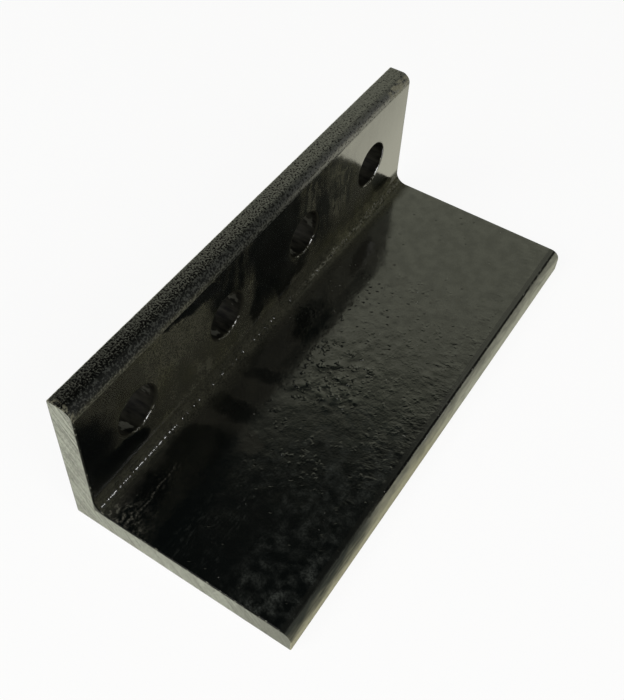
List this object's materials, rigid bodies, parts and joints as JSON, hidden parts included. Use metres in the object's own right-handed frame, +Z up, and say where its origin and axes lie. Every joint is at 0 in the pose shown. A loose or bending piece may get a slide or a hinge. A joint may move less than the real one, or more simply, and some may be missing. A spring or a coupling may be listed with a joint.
{
  "type": "mounting bracket",
  "caption": "Black painted steel angle bracket with unequal legs, sawn square at both ends and drilled with a row of bolt holes along its upright leg.",
  "frame": {"origin": "middle of the underside of the bounding box, on the face that the flat leg rests on", "axes": "+X along the length, +Y from the toe of the flat leg to the back of the upright leg, +Z up the upright leg"},
  "size_m": [0.205, 0.09, 0.066],
  "materials": {
    "enamel": "gloss black enamel over hot-rolled steel, thinner and greyer on the sawn ends"
  },
  "bodies": {
    "root": {"angle_bracket": "enamel"}
  },
  "joints": []
}
